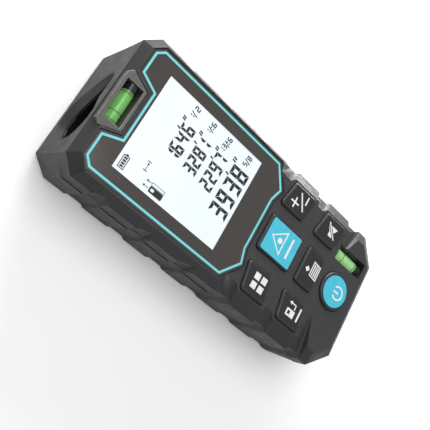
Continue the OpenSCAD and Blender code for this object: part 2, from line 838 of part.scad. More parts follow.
module optics_frame() {
  back = 20;
  color([0.16, 0.16, 0.17]) difference() {
    union() {
      rod_y(lens_r + 1, lens_at[0], [back, optics_front], lens_at[1]);
      block([1.6, exit_at[0] + 3.6], [back + 7, optics_front], [12, 19.3]);
      block([-14.4, exit_at[0] + 3.6], [back, optics_front], [wall + 0.1, 4.6]);
      block([5, 7], [back + 7, optics_front], [4.5, 12.1]);
    }
    rod_y(lens_r + 0.05, lens_at[0], [optics_front - 4, laser_y], lens_at[1]);
    rod_y(lens_r - 0.7, lens_at[0], [back + 1.5, optics_front], lens_at[1]);
    rod_y(2.4, lens_at[0], [back - 1, back + 2], lens_at[1]);
    rod_y(barrel_r + 0.03, exit_at[0], [back, laser_y], exit_at[1]);
  }
}

module receiver_lens() {
  color(clear_tint) intersection() {
    rod_y(lens_r, lens_at[0], [optics_front - 3.9, optics_front + 1], lens_at[1]);
    translate([lens_at[0], optics_front - 19.4, lens_at[1]]) sphere(20);
  }
}

module receiver_sensor() {
  color(nickel) {
    rod_y(2.3, lens_at[0], [18.4, 21.2], lens_at[1]);
    rod_y(2.7, lens_at[0], [17.9, 18.4], lens_at[1]);
  }
  color(board_green)
    block([lens_at[0] - 6, lens_at[0] + 6], [16.7, 17.9], [lens_at[1] - 5.5, lens_at[1] + 5.5]);
}

module laser_barrel() {
  back = 28;
  front = hood_back - 0.1;
  color([0.80, 0.66, 0.32]) difference() {
    rod_y(barrel_r, exit_at[0], [back, front], exit_at[1]);
    rod_y(2.05, exit_at[0], [back - 1, front - 0.8], exit_at[1]);
    rod_y(1.3, exit_at[0], [back, front + 1], exit_at[1]);
  }
}

module collimator_lens() {
  front = hood_back - 1;
  color(clear_tint) intersection() {
    rod_y(2.02, exit_at[0], [front - 2, front], exit_at[1]);
    translate([exit_at[0], front - 5.02, exit_at[1]]) sphere(5);
  }
}

module laser_diode() {
  back = 28;
  color([0.85, 0.70, 0.35]) {
    rod_y(2, exit_at[0], [back + 0.2, back + 1.4], exit_at[1]);
    rod_y(1.4, exit_at[0], [back + 1.4, back + 3.6], exit_at[1]);
    for (x = [-0.9, 0.9]) rod_y(0.22, exit_at[0] + x, [back - 4, back + 0.3], exit_at[1]);
  }
}

// ---------------------------------------------------------------- power

module battery_door() {
  color(charcoal) difference() {
    union() {
      block([-door_x + door_gap, door_x - door_gap],
        [door_y[0] + door_gap, door_y[1] - door_gap], [0, door_t]);
      for (side = [-1, 1]) block([side * 10.7 - 0.4, side * 10.7 + 0.4],
        [bay_y[0] + 4, bay_y[1] - 4], [door_t - eps, door_t + 1.6]);
    }
    // thumb ridges
    for (i = [0:4]) block([-6, 6], [door_y[0] + 3 + i * 1.5, door_y[0] + 3.7 + i * 1.5],
      [-1, 0.4]);
  }
}

module cell() {
  nub = 0.9;
  cylinder(d = cell_d, h = cell_l - nub);
  translate([0, 0, cell_l - nub - eps]) cylinder(r = 1.9, h = nub + eps);
}

module batteries() {
  color([0.25, 0.27, 0.30]) {
    translate([-cell_x, bay_y[1] - plate_t - slip - cell_l, cell_z]) rotate([-90, 0, 0]) cell();
    translate([cell_x, bay_y[0] + plate_t + slip + cell_l, cell_z]) rotate([90, 0, 0]) cell();
  }
}

module battery_contacts() {
  color(nickel) for (x = [-cell_x, cell_x], y = [bay_y[0], bay_y[1] - plate_t])
    block([x - 4.2, x + 4.2], [y, y + plate_t], [3, 12]);
}

// A helical wire of the given radius, standing on the origin.
module coil(radius, wire, height, turns) {
  steps = turns * 12;
  sides = 5;
  rings = [for (i = [0:steps]) let (a = 360 * turns * i / steps,
      c = [radius * cos(a), radius * sin(a), wire + (height - 2 * wire) * i / steps])
    [for (j = [0:sides - 1]) let (t = -360 * j / sides)
      c + wire * [cos(t) * cos(a), cos(t) * sin(a), sin(t)]]];
  stack(rings);
}

module battery_springs() {
  gap = bay_y[1] - bay_y[0] - cell_l - 2 * plate_t - 2 * slip;
  color(nickel) {
    translate([-cell_x, bay_y[0] + plate_t, cell_z]) rotate([-90, 0, 0])
      coil(2.6, 0.3, gap, 3);
    translate([cell_x, bay_y[1] - plate_t, cell_z]) rotate([90, 0, 0])
      coil(2.6, 0.3, gap, 3);
  }
}

// ---------------------------------------------------------------- fasteners and label

module tripod_insert() {
  color([0.80, 0.66, 0.32]) difference() {
    rod_z(tripod_outer_r, tripod_at, [0.2, tripod_depth + 0.8]);
    rod_z(tripod_r, tripod_at, [-1, tripod_depth]);
  }
}

module cross_slot(at, z, size) {
  for (turn = [0, 90]) translate([at[0], at[1], z]) rotate([0, 0, turn])
    block([-size, size], [-0.3, 0.3], [-0.5, 0.7]);
}

module shell_screws() {
  color(nickel) left_and_right() for (at = screw_at) difference() {
    union() {
      rod_z(2.3, at, [1, 3]);
      rod_z(screw_r, at, [3 - eps, ceiling_z - 1]);
    }
    cross_slot(at, 1, 1.6);
  }
}

module rear_label() {
  color("gainsboro") block([-14, 14], [18, 42], [0.05, 0.35]);
}

// ---------------------------------------------------------------- assembly

front_shell();
rear_shell();
shell_gasket();
display_window();
lcd_frame();
lcd_panel();
backlight();
lcd_connector();
keypad_mat();
switch_domes();
key_measure();
key_power();
key_memory();
key_plus_minus();
key_sound();
key_function();
key_reference();
main_board();
processor();
buzzer();
board_screws();
optics_hood();
optics_frame();
receiver_lens();
receiver_sensor();
laser_barrel();
collimator_lens();
laser_diode();
top_vial_frame();
top_vial();
top_vial_plug();
top_vial_liquid();
top_vial_bubble();
side_vial_cradle();
side_vial();
side_vial_plug();
side_vial_liquid();
side_vial_bubble();
battery_door();
batteries();
battery_springs();
battery_contacts();
tripod_insert();
shell_screws();
rear_label();
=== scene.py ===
import json
import math

import bmesh
import bpy
from mathutils import Matrix, Quaternion, Vector


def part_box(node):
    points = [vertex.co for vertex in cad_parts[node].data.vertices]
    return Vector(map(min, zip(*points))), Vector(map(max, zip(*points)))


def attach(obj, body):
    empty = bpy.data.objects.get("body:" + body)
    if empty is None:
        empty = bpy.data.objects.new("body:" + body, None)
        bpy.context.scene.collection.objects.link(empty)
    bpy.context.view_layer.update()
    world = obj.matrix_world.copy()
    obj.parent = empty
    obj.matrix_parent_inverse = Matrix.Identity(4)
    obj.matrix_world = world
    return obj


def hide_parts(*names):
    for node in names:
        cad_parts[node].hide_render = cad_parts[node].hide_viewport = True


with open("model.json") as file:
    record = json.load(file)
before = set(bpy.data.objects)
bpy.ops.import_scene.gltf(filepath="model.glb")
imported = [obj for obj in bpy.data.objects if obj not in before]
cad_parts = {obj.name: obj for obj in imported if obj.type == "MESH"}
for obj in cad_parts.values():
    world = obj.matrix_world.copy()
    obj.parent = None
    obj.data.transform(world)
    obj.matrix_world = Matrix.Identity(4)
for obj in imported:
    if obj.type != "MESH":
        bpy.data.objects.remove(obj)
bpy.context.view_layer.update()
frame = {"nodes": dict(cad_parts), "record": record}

# Sizes and places are in mm in the row frame, and MM turns them into Blender's metres
MM = 0.001
SLOT_OF = {p["node"]: p["material_slot"] for p in frame["record"]["subparts"]}
BODIES = frame["record"]["behaviour"]["bodies"]
BODY_OF = {node: body for body, members in BODIES.items() for node in members}
KEYS = ["measure", "power", "memory", "plus_minus", "sound", "function", "reference"]

# ------------------------------------------------------------------ shaders


class Shader:
    """A node material under construction, textured in the object's own metres.

    Inputs are named by keyword, with an underscore where Blender's name has a space.
    """

    def __init__(self, name):
        self.material = bpy.data.materials.new(name)
        self.material.use_nodes = True
        self.tree = self.material.node_tree
        self.tree.nodes.clear()
        self.principled = self.node("BsdfPrincipled")
        self.out = self.node("OutputMaterial", Surface=self.principled.outputs[0])
        self.place = self.node("TexCoord").outputs["Object"]

    def node(self, kind, **inputs):
        """A new shader node with its inputs fed."""
        made = self.tree.nodes.new("ShaderNode" + kind)
        for name, value in inputs.items():
            self.feed(made.inputs[name.replace("_", " ")], value)
        return made

    def feed(self, socket, value):
        """Links an output to an input, or sets the input to a value."""
        if isinstance(value, bpy.types.NodeSocket):
            self.tree.links.new(value, socket)
        elif socket.type == "RGBA" and len(value) == 3:
            socket.default_value = (*value, 1)
        else:
            socket.default_value = value

    def noise(self, size_mm, detail=2.0, roughness=0.55, stretch=(1, 1, 1)):
        """A noise whose features are about size_mm across, pulled out along an axis by stretch."""
        place = self.node("Mapping", Vector=self.place, Scale=[1 / s for s in stretch])
        return self.node(
            "TexNoise",
            Vector=place.outputs[0],
            Scale=1 / (size_mm * MM),
            Detail=detail,
            Roughness=roughness,
        ).outputs["Fac"]

    def cells(self, size_mm):
        """How far each point is from the middle of its cell."""
        return self.node(
            "TexVoronoi", Vector=self.place, Scale=1 / (size_mm * MM)
        ).outputs["Distance"]

    def remap(self, value, low, high, to_low, to_high):
        """Stretches a value from one range to another, held at its ends."""
        limits = {"From_Min": low, "From_Max": high, "To_Min": to_low, "To_Max": to_high}
        return self.node("MapRange", Value=value, **limits).outputs[0]

    def maths(self, operation, a, b):
        made = self.tree.nodes.new("ShaderNodeMath")
        made.operation = operation
        self.feed(made.inputs[0], a)
        self.feed(made.inputs[1], b)
        return made.outputs[0]

    def blend(self, share, first, second):
        """Mixes two colours, all of the second at a share of one."""
        made = self.tree.nodes.new("ShaderNodeMix")
        made.data_type = "RGBA"
        self.feed(made.inputs[0], share)
        self.feed(made.inputs[6], first)
        self.feed(made.inputs[7], second)
        return made.outputs[2]

    def bump(self, height, depth_mm, under=None):
        """Roughens the surface by a height, on top of another bump if one is given."""
        made = self.node("Bump", Height=height, Distance=depth_mm * MM, Strength=1.0)
        if under is not None:
            self.feed(made.inputs["Normal"], under)
        self.feed(self.principled.inputs["Normal"], made.outputs[0])
        return made.outputs[0]

    def edges(self):
        """One on the rounded edges that soften() makes, nought elsewhere."""
        made = self.tree.nodes.new("ShaderNodeAttribute")
        made.attribute_name = "edge"
        return made.outputs["Fac"]

    def set(self, **inputs):
        """Feeds inputs of the material's main shader."""
        for name, value in inputs.items():
            self.feed(self.principled.inputs[name.replace("_", " ")], value)


def moulded(name, color, grain_mm=0.4, depth_mm=0.02, rough=(0.45, 0.6), edge_wear_and_highlight=None, shade=0.25,
            sheen=0.5, speckled=0.35):
    """Moulded plastic: grained skin, uneven gloss, slight colour drift, and edges lightened partly
    as rubbed wear and partly as a painted highlight.
    """
    s = Shader(name)
    drift = s.noise(14, 3)
    dark = [c * (1 - shade) for c in color]
    light = [c * (1 + shade) for c in color]
    base = s.blend(s.remap(drift, 0.3, 0.7, 0, 1), dark, light)
    speckle = s.noise(grain_mm, 1)
    base = s.blend(s.remap(speckle, 0.35, 0.75, 0, speckled), base, [c * 1.5 for c in color])
    # The rounded edges take a lighter colour: partly rubbed wear, partly a painted highlight
    if edge_wear_and_highlight is not None:
        wear_and_highlight_mask = s.maths("MULTIPLY", s.edges(), s.remap(s.noise(3, 3), 0.35, 0.65, 0.35, 1))
        base = s.blend(wear_and_highlight_mask, base, edge_wear_and_highlight)
    s.set(Base_Color=base, Specular_IOR_Level=sheen)
    s.set(Roughness=s.remap(s.noise(5, 4), 0.3, 0.7, *rough))
    fine = s.bump(speckle, depth_mm)
    s.bump(s.noise(grain_mm * 3.5, 2), depth_mm * 0.8, fine)
    return s.material


def metal(name, color, rough=(0.2, 0.35), brush=(1, 1, 12)):
    """Bare metal with fine brushing and darker patches of tarnish."""
    s = Shader(name)
    lines = s.noise(0.25, 2, 0.6, brush)
    patches = s.noise(4, 3)
    dull = [c * 0.7 for c in color]
    s.set(Base_Color=s.blend(s.remap(patches, 0.35, 0.7, 0, 1), dull, color), Metallic=1.0)
    s.set(Roughness=s.remap(lines, 0.3, 0.7, *rough))
    s.bump(lines, 0.006)
    return s.material


def glazed(name, tint, gloss):
    """Thin clear plastic or glass: see-through, reflecting at its surface, faintly smeared."""
    s = Shader(name)
    smears = s.noise(6, 4, 0.6, (1, 3, 1))
    rough = s.remap(smears, 0.35, 0.7, gloss, gloss + 0.06)
    clear = s.node("BsdfTransparent", Color=tint)
    shine = s.node("BsdfGlossy", Color=(1, 1, 1), Roughness=rough)
    from_outside = s.maths("SUBTRACT", 1.0, s.node("NewGeometry").outputs["Backfacing"])
    edge_on = s.maths("MULTIPLY", s.node("Fresnel", IOR=1.45).outputs[0], from_outside)
    ripple = s.node("Bump", Height=s.noise(9, 2), Distance=0.01 * MM, Strength=1.0)
    s.feed(shine.inputs["Normal"], ripple.outputs[0])
    mixed = s.node("MixShader", Fac=edge_on)
    s.feed(mixed.inputs[1], clear.outputs[0])
    s.feed(mixed.inputs[2], shine.outputs[0])
    s.feed(s.out.inputs["Surface"], mixed.outputs[0])
    return s.material


def printed(name, color, rough=0.4, gloss_coat=0.0):
    """Ink or enamel laid on a surface: near-even colour with a faint orange-peel skin."""
    s = Shader(name)
    drift = s.noise(3, 3)
    s.set(
        Base_Color=s.blend(
            s.remap(drift, 0.3, 0.7, 0, 1), [c * 0.92 for c in color], [c * 1.04 for c in color]
        ),
        Roughness=s.remap(s.noise(1.2, 3), 0.3, 0.7, rough - 0.08, rough + 0.08),
        Coat_Weight=gloss_coat,
        Coat_Roughness=0.12,
    )
    s.bump(s.noise(0.3, 1), 0.004)
    return s.material


def lit_display():
    """The backlit face: nearly white, unevenly cool, with a faint grid of cells."""
    s = Shader("display_lit")
    wide = s.noise(22, 1)
    tone = s.blend(s.remap(wide, 0.3, 0.7, 0, 1), (0.86, 0.93, 1.0), (0.93, 0.97, 1.0))
    grid = s.remap(s.cells(0.5), 0.0, 0.6, 0.985, 1.0)
    s.set(
        Base_Color=(0.25, 0.27, 0.28),
        Emission_Color=tone,
        Emission_Strength=s.maths("MULTIPLY", grid, 0.80),
        Roughness=s.remap(s.noise(4, 3), 0.3, 0.7, 0.3, 0.45),
    )
    s.bump(s.noise(0.4, 1), 0.002)
    return s.material


def level_liquid(name, deep, painted_glow, painted_glow_strength):
    """Tinted, half-clear liquid, with a painted glow standing in for light gathered in it."""
    s = Shader(name)
    swirl = s.noise(2.2, 3, 0.5, (2, 2, 1))
    light = tuple(1.25 * c + 0.06 for c in deep)
    tone = s.blend(s.remap(swirl, 0.3, 0.7, 0, 1), deep, light)
    # The emission is a painted glow: the liquid gives no light of its own
    s.set(
        Base_Color=tone,
        Roughness=s.remap(s.noise(1.5, 2), 0.3, 0.7, 0.06, 0.16),
        Subsurface_Weight=0.35,
        Subsurface_Scale=1.2 * MM,
        Emission_Color=painted_glow,
        Emission_Strength=painted_glow_strength,
    )
    s.bump(s.noise(1.0, 1), 0.003)
    through = s.node("MixShader", Fac=0.5)
    s.feed(through.inputs[1], s.principled.outputs[0])
    s.feed(through.inputs[2], s.node("BsdfTransparent", Color=(0.72, 0.95, 0.62)).outputs[0])
    s.feed(s.out.inputs["Surface"], through.outputs[0])
    return s.material


def level_bubble():
    """Air in the liquid, with painted light and shade: pale in the middle, dark where its wall is
    seen edge on.
    """
    s = Shader("level_bubble")
    painted_rim_shade = s.node("LayerWeight", Blend=0.35).outputs["Facing"]
    # Colour by facing is painted light and shade, not a colour of the air
    s.set(
        Base_Color=s.blend(painted_rim_shade, (0.86, 0.98, 0.76), (0.16, 0.42, 0.10)),
        Roughness=s.remap(s.noise(0.8, 2), 0.3, 0.7, 0.04, 0.1),
        Specular_IOR_Level=0.8,
    )
    return s.material


def circuit_board():
    """Solder resist over copper tracks, with the weave of the laminate showing through."""
    s = Shader("board_resist")
    tracks = s.node("TexBrick", Vector=s.place, Scale=260.0, Color1=(0.03, 0.16, 0.07),
                    Color2=(0.035, 0.19, 0.08), Mortar=(0.07, 0.30, 0.13), Mortar_Size=0.03)
    s.set(Base_Color=tracks.outputs["Color"], Coat_Weight=0.4)
    s.set(Roughness=s.remap(s.noise(2, 3), 0.3, 0.7, 0.25, 0.4))
    s.bump(tracks.outputs["Fac"], 0.02)
    return s.material


def lens_glass():
    """Coated glass: dark inside, with a violet and blue coating that shifts with angle."""
    s = Shader("lens_coated")
    facing = s.node("LayerWeight", Blend=0.6).outputs["Facing"]
    s.set(
        Base_Color=s.blend(facing, (0.05, 0.03, 0.10), (0.12, 0.18, 0.34)),
        Roughness=s.remap(s.noise(4, 3), 0.35, 0.7, 0.03, 0.09),
        Coat_Weight=1.0,
        Coat_Roughness=0.03,
        Specular_IOR_Level=0.9,
    )
    s.bump(s.noise(3, 1), 0.004)
    return s.material


def laser_glow():
    """The small lens over the laser, lit red from behind."""
    s = Shader("laser_glow")
    facing = s.node("LayerWeight", Blend=0.5).outputs["Facing"]
    s.set(
        Base_Color=(0.5, 0.02, 0.02),
        Roughness=s.remap(s.noise(1, 2), 0.3, 0.7, 0.05, 0.15),
        Emission_Color=s.blend(facing, (1.0, 0.10, 0.08), (0.55, 0.0, 0.0)),
        Emission_Strength=2.0,
    )
    return s.material


# ------------------------------------------------------------------ materials

# One look for each material slot of the record
# The edge colours given below lighten the rounded edges: partly rubbed wear, partly a painted
# highlight
MATERIALS = {
    "casing": moulded("casing_grained", (0.034, 0.034, 0.036), 0.40, 0.06, (0.42, 0.58),
                      edge_wear_and_highlight=(0.085, 0.085, 0.088), shade=0.12, speckled=0.8),
    "seal": moulded("seal_rubber", (0.016, 0.016, 0.016), 0.3, 0.02, (0.6, 0.8)),
    "white_plastic": moulded("frame_white", (0.72, 0.72, 0.71), 0.6, 0.01, (0.4, 0.55),
                             shade=0.05),
    "display": lit_display(),
    "ivory_plastic": moulded("socket_ivory", (0.62, 0.56, 0.42), 0.5, 0.01, (0.35, 0.5),
                             shade=0.08),
    "silicone": moulded("mat_silicone", (0.10, 0.11, 0.12), 0.8, 0.02, (0.5, 0.7)),
    "nickel": metal("nickel_plate", (0.72, 0.70, 0.66)),
    "key_black": moulded("key_satin", (0.0165, 0.0165, 0.018), 0.5, 0.02, (0.38, 0.52),
                         edge_wear_and_highlight=(0.075, 0.075, 0.08), shade=0.12),
    "board": circuit_board(),
    "black_plastic": moulded("inner_black", (0.018, 0.018, 0.019), 0.5, 0.02, (0.4, 0.6)),
    "steel": metal("screw_zinc", (0.52, 0.53, 0.54), (0.25, 0.4)),
    "hood_black": moulded("hood_gloss", (0.010, 0.010, 0.011), 1.4, 0.01, (0.08, 0.18),
                          edge_wear_and_highlight=(0.05, 0.05, 0.05), shade=0.2, sheen=0.7),
    "lens": lens_glass(),
    "brass": metal("brass_turned", (0.66, 0.47, 0.20), (0.18, 0.32), (1, 1, 0.2)),
    "grey_plastic": moulded("frame_warm_grey", (0.105, 0.098, 0.094), 0.36, 0.035, (0.42, 0.6),
                            edge_wear_and_highlight=(0.24, 0.23, 0.22), shade=0.12),
    "vial_clear": glazed("vial_acrylic", (0.93, 0.98, 0.92), 0.03),
    # The liquid's last two values are a painted glow
    "level_liquid": level_liquid("level_liquid", (0.16, 0.44, 0.12), (0.30, 0.58, 0.24), 0.35),
    "bubble": level_bubble(),
    "cell_wrap": printed("cell_sleeve", (0.02, 0.05, 0.11), 0.3, gloss_coat=0.6),
    "label": printed("label_film", (0.30, 0.31, 0.32), 0.45),
    "window": glazed("window_clear", (0.99, 0.995, 1.0), 0.02),
}
# The blue keys are black caps with a blue pad printed on them
MATERIALS["key_blue"] = MATERIALS["key_black"]
BORDER = moulded("border_print", (0.057, 0.051, 0.047), 0.25, 0.002, (0.12, 0.2), shade=0.06)
LINE = printed("line_cyan", (0.20, 0.72, 0.76), 0.35)
BLUE = printed("pad_blue", (0.07, 0.57, 0.74), 0.42)
WHITE = printed("mark_white", (0.88, 0.89, 0.90), 0.5)
INK = printed("segment_ink", (0.009, 0.007, 0.007), 0.35)

# Nodes that look unlike the rest of their slot
OWN_LOOKS = {
    "collimator_lens": laser_glow(),
    "side_vial_plug": glazed("plug_clear", (0.62, 0.68, 0.60), 0.03),
    # The pale liquid of the side level also has a painted glow
    "side_vial_liquid": level_liquid("level_liquid_pale", (0.34, 0.56, 0.28), (0.49, 0.64, 0.44),
                                     0.5),
}
for node, obj in frame["nodes"].items():
    obj.data.materials.clear()
    obj.data.materials.append(OWN_LOOKS.get(node, MATERIALS[SLOT_OF[node]]))

# ------------------------------------------------------------------ mesh tools

# Edges bent less than this stay smooth, in degrees
SMOOTH_BELOW = 9


def add_piece(name, bm, body, material, smooth=False):
    """Turns a bmesh into a piece that rides on a body."""
    bmesh.ops.recalc_face_normals(bm, faces=bm.faces)
    mesh = bpy.data.meshes.new(name)
    for face in bm.faces:
        face.smooth = smooth
    bm.to_mesh(mesh)
    bm.free()
    obj = bpy.data.objects.new(name, mesh)
    bpy.context.scene.collection.objects.link(obj)
    mesh.materials.append(material)
    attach(obj, body)
    if smooth:
        obj.modifiers.new("even_shading", "WEIGHTED_NORMAL").keep_sharp = True
    return obj


def cad_copy(node):
    """A bmesh of a CAD node, with its triangles joined into flat faces."""
    bm = bmesh.new()
    bm.from_mesh(frame["nodes"][node].data)
    bmesh.ops.remove_doubles(bm, verts=bm.verts, dist=0.002 * MM)
    bmesh.ops.dissolve_limit(
        bm, angle_limit=math.radians(0.6), verts=bm.verts, edges=bm.edges
    )
    return bm


def soften(node, width_mm, chosen, angle=18, shape=None, crisp=lambda edge: False):
    """Stands in for a CAD node with the same solid, its chosen edges rounded by width_mm.

    Only edges bent by more than the angle, in degrees, are rounded. shape() works on the mesh
    first. Where crisp() holds, every flat face is shaded flat.
    """
    bm = cad_copy(node)
    if shape:
        shape(bm)
    layer = bm.faces.layers.float.new("edge")
    sharp = [
        e
        for e in bm.edges
        if len(e.link_faces) == 2
        and e.is_convex
        and e.calc_face_angle() > math.radians(angle)
        and chosen(e)
    ]
    made = bmesh.ops.bevel(
        bm, geom=sharp, offset=width_mm * MM, offset_type="OFFSET", segments=2,
        profile=0.5, affect="EDGES", clamp_overlap=True,
    )
    for face in made["faces"]:
        face[layer] = 1.0
    for e in bm.edges:
        if len(e.link_faces) != 2:
            continue
        if crisp(e):
            e.smooth = all(f[layer] for f in e.link_faces)
        elif e.calc_face_angle() > math.radians(SMOOTH_BELOW):
            e.smooth = any(f[layer] for f in e.link_faces)
    piece = add_piece(
        node + "_skin", bm, BODY_OF[node], MATERIALS[SLOT_OF[node]], True,
    )
    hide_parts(node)


def middle(edge):
    """The middle of an edge, in mm."""
    return (edge.verts[0].co + edge.verts[1].co) / 2 / MM


# ------------------------------------------------------------------ flat shapes


def rect(x0, x1, y0, y1):
    return [(x0, y0), (x1, y0), (x1, y1), (x0, y1)]


def bar(start, end, thick):
    """A straight bar of a thickness between two points."""
    a, b = Vector(start), Vector(end)
    side = (b - a).normalized().orthogonal() * thick / 2
    return [tuple(p) for p in (a - side, b - side, b + side, a + side)]


def disc(x, y, r, n=40):
    return [
        (x + r * math.cos(2 * math.pi * i / n), y + r * math.sin(2 * math.pi * i / n))
        for i in range(n)
    ]


def arc_band(x, y, r_out, r_in, start, end, n=36):
    """Part of a ring, from start to end in degrees."""
    turn = [math.radians(start + (end - start) * i / n) for i in range(n + 1)]
    return [(x + r_out * math.cos(t), y + r_out * math.sin(t)) for t in turn] + [
        (x + r_in * math.cos(t), y + r_in * math.sin(t)) for t in reversed(turn)
    ]


def unit_normal(a, b):
    """The unit vector to the right of the way from a to b."""
    d = (Vector(b) - Vector(a)).normalized()
    return Vector((d.y, -d.x))


def grown(outline, by):
    """An anticlockwise outline moved outwards by a distance, with mitred corners."""
    n = len(outline)
    made = []
    for i in range(n):
        first = unit_normal(outline[i - 1], outline[i])
        second = unit_normal(outline[i], outline[(i + 1) % n])
        made.append(tuple(Vector(outline[i]) + (first + second) * by / (1 + first.dot(second))))
    return made


def rounded(outline, r, steps=5):
    """A convex anticlockwise outline with its corners rounded."""
    made = []
    n = len(outline)
    for i in range(n):
        here = Vector(outline[i])
        back = (Vector(outline[i - 1]) - here).normalized()
        ahead = (Vector(outline[(i + 1) % n]) - here).normalized()
        half = back.angle(ahead) / 2
        centre = here + (back + ahead).normalized() * r / math.sin(half)
        start = here + back * r / math.tan(half) - centre
        for k in range(steps + 1):
            turn = Matrix.Rotation((math.pi - 2 * half) * k / steps, 2)
            made.append(tuple(centre + turn @ start))
    return made


def ring(bm, points, z):
    """Vertices of a flat outline in mm, at a height in mm."""
    return [bm.verts.new(Vector((x, y, z)) * MM) for x, y in points]


def join(bm, rings):
    """Skins a list of rings, each closed, from the first to the last."""
    n = len(rings[0])
    for a, b in zip(rings, rings[1:]):
        for i in range(n):
            bm.faces.new((a[i], a[(i + 1) % n], b[(i + 1) % n], b[i]))


def prism(bm, outline, z0, z1, hole=None):
    """A flat plate of the outline, open inside a hole of as many points."""
    n = len(outline)
    loops = [ring(bm, outline, z0), ring(bm, outline, z1)]
    for i in range(n):
        j = (i + 1) % n
        bm.faces.new((loops[0][i], loops[0][j], loops[1][j], loops[1][i]))
    if hole is None:
        bm.faces.new(loops[1])
        bm.faces.new(list(reversed(loops[0])))
        return
    inner = [ring(bm, hole, z0), ring(bm, hole, z1)]
    for i in range(n):
        j = (i + 1) % n
        bm.faces.new((inner[0][j], inner[0][i], inner[1][i], inner[1][j]))
        bm.faces.new((loops[1][i], loops[1][j], inner[1][j], inner[1][i]))
        bm.faces.new((loops[0][j], loops[0][i], inner[0][i], inner[0][j]))


def plates(name, outlines, z0, z1, body, material):
    """One piece made of flat plates; an outline may be an (outer, hole) pair."""
    bm = bmesh.new()
    for outline in outlines:
        if isinstance(outline, tuple):
            prism(bm, outline[0], z0, z1, outline[1])
        else:
            prism(bm, outline, z0, z1)
    return add_piece(name, bm, body, material)


# ------------------------------------------------------------------ casing

low, high = (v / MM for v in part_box("front_shell"))
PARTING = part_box("rear_shell")[1].z / MM
# The inner faces of the side walls and of the roof
SIDE_IN, CEILING = round(high.x - 3.4, 2), round(high.z - 3.4, 2)
# Where the corners at the laser end begin
CORNER_X, CORNER_Y = 16.5, 51.2
# How far in from its ends an edge of the casing counts as an outer one
FRONT_RIM, REAR_RIM, BOTTOM_RIM = 2.6, 2.2, 1.8
BACK_RIM_Z = 0.9
# Edges shorter than this keep their shape, in metres
SHORT = 0.5 * MM


def at_joint(edge):
    """Whether an edge lies in the plane where the two shells meet."""
    return all(abs(v.co.z / MM - PARTING) < 0.02 for v in edge.verts)


def outside(at, past_wall, painted_rim_shade):
    """Whether a point lies past the inner face of a side wall, or near an end of the casing."""
    return (abs(at.x) > SIDE_IN + past_wall or at.y > high.y - painted_rim_shade
            or at.y < low.y + BOTTOM_RIM)


def on_front(edge):
    """The outer edges of the front shell, leaving out those at its joint."""
    at = middle(edge)
    chosen = outside(at, 0.3, FRONT_RIM) or at.z > CEILING + 0.3
    return chosen and edge.calc_length() > SHORT and not at_joint(edge)


def on_rear(edge):
    """The outer edges of the rear shell, leaving out those at its joint."""
    at = middle(edge)
    chosen = outside(at, 0.1, REAR_RIM) or at.z < BACK_RIM_Z
    return chosen and edge.calc_length() > SHORT and not at_joint(edge)


def on_side(edge):
    """The side walls and the corners at the laser end, which have only flat faces."""
    at = middle(edge)
    return abs(at.x) > SIDE_IN or (abs(at.x) > CORNER_X and at.y > CORNER_Y)


hood_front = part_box("optics_hood")[1].y / MM
soften("front_shell", 0.25, on_front, crisp=on_side)
soften("rear_shell", 0.25, on_rear, crisp=on_side)
soften("battery_door", 0.2, lambda e: e.calc_length() > SHORT)
soften("top_vial_frame", 0.25, lambda e: middle(e).z > CEILING + 0.1)
soften("optics_hood", 0.2, lambda e: middle(e).y > hood_front - 0.4)

# ------------------------------------------------------------------ display

WINDOW_FLOOR, TOP = (v.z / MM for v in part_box("display_window"))
# The border and the pane end a little under the top, so that the cyan line stands proud
PRINT_Z = TOP - 0.02
# The cyan line, from the keypad end to the laser end on the +X side
BORDER_HALF = [
    (9.06, -5.07), (13.55, -6.54), (20.3, -1.24), (20.3, 48.8), (18.06, 51.1), (10.66, 51.1),
    (8.18, 45.1),
]
BORDER_LINE = BORDER_HALF + [(-x, y) for x, y in reversed(BORDER_HALF)]
# The part of the display panel that is in view
panel_low, panel_high = (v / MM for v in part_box("lcd_panel"))
SCREEN = rect(panel_low.x + 1.1, panel_high.x - 1.1, panel_low.y + 2.3, panel_high.y - 0.3)
# The lit face and the pane above it
FACE_FLOOR, FACE_Z, PANE_FLOOR = TOP - 1.3, TOP - 0.25, TOP - 0.15


def window_border(bevel=0.12):
    """The printed border: a plate with a bevelled rim and the screen's opening in it."""
    bm = bmesh.new()
    outer = grown(BORDER_LINE, 0.9)
    rings = [ring(bm, outer, WINDOW_FLOOR), ring(bm, outer, PRINT_Z - bevel),
             ring(bm, grown(outer, -bevel), PRINT_Z)]
    holes = [ring(bm, SCREEN, WINDOW_FLOOR), ring(bm, SCREEN, PRINT_Z)]
    join(bm, rings)
    join(bm, [list(reversed(hole)) for hole in holes])
    for loop, hole in ((rings[-1], holes[1]), (rings[0], holes[0])):
        edges = [bm.edges.get(pair) for points in (loop, hole)
                 for pair in zip(points, points[1:] + points[:1])]
        bmesh.ops.triangle_fill(bm, use_beauty=True, use_dissolve=False, edges=edges)
    return add_piece("window_border", bm, "root", BORDER)


border = window_border()
line = plates("window_line", [(grown(BORDER_LINE, 0.1), grown(BORDER_LINE, -0.6))],
              TOP - 0.05, TOP, "root", LINE)
opening = grown(SCREEN, -0.02)
face = plates("display_face", [opening], FACE_FLOOR, FACE_Z, "root",
              MATERIALS["display"])
pane = plates("window_pane", [opening], PANE_FLOOR, PRINT_Z, "root",
              MATERIALS["window"])
for piece in (border, line, face, pane):
    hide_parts("display_window")

# Which of the seven segments each figure lights: a to f clockwise from the top one, g the middle
LIT = {
    "1": "bc", "2": "abged", "3": "abgcd", "4": "fgbc", "5": "afgcd", "6": "afgedc",
    "7": "abc", "8": "abcdefg", "9": "abcdfg",
}


